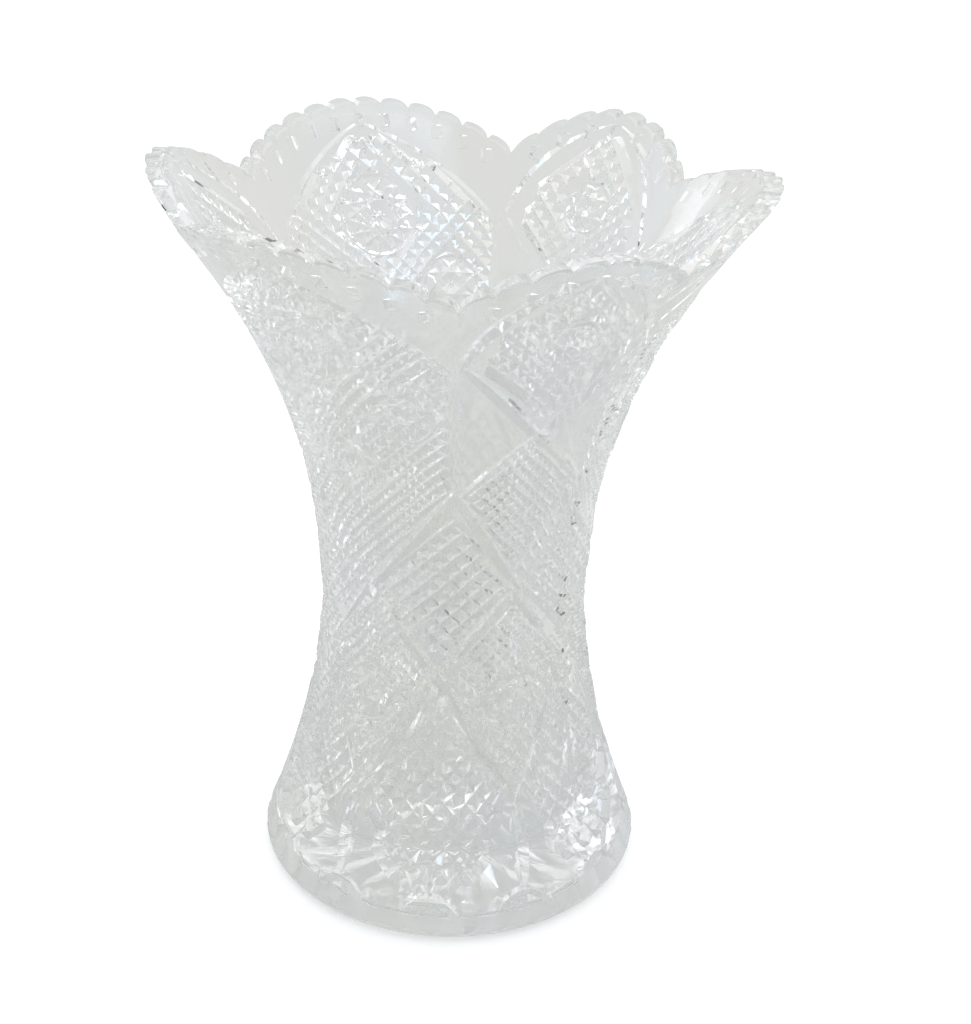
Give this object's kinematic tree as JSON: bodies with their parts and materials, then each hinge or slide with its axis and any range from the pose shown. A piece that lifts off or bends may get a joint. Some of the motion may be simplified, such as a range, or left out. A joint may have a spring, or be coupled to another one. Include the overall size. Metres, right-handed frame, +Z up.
{
  "type": "cut crystal vase",
  "caption": "Waisted clear cut-glass flower vase with a scalloped, toothed rim, crossing mitre cuts and a spreading foot with a star cut beneath.",
  "frame": {"origin": "on the vase's axis, at the level of the table it stands on", "axes": "+Z up along the vase's axis; -Y towards the front, where a V between a wide and a narrow scallop faces"},
  "size_m": [0.2363, 0.2266, 0.2998],
  "materials": {
    "crystal": "clear colourless lead crystal, deeply cut and polished"
  },
  "bodies": {
    "root": {"foot": "crystal", "waist": "crystal", "flare": "crystal", "rim": "crystal"}
  },
  "joints": []
}
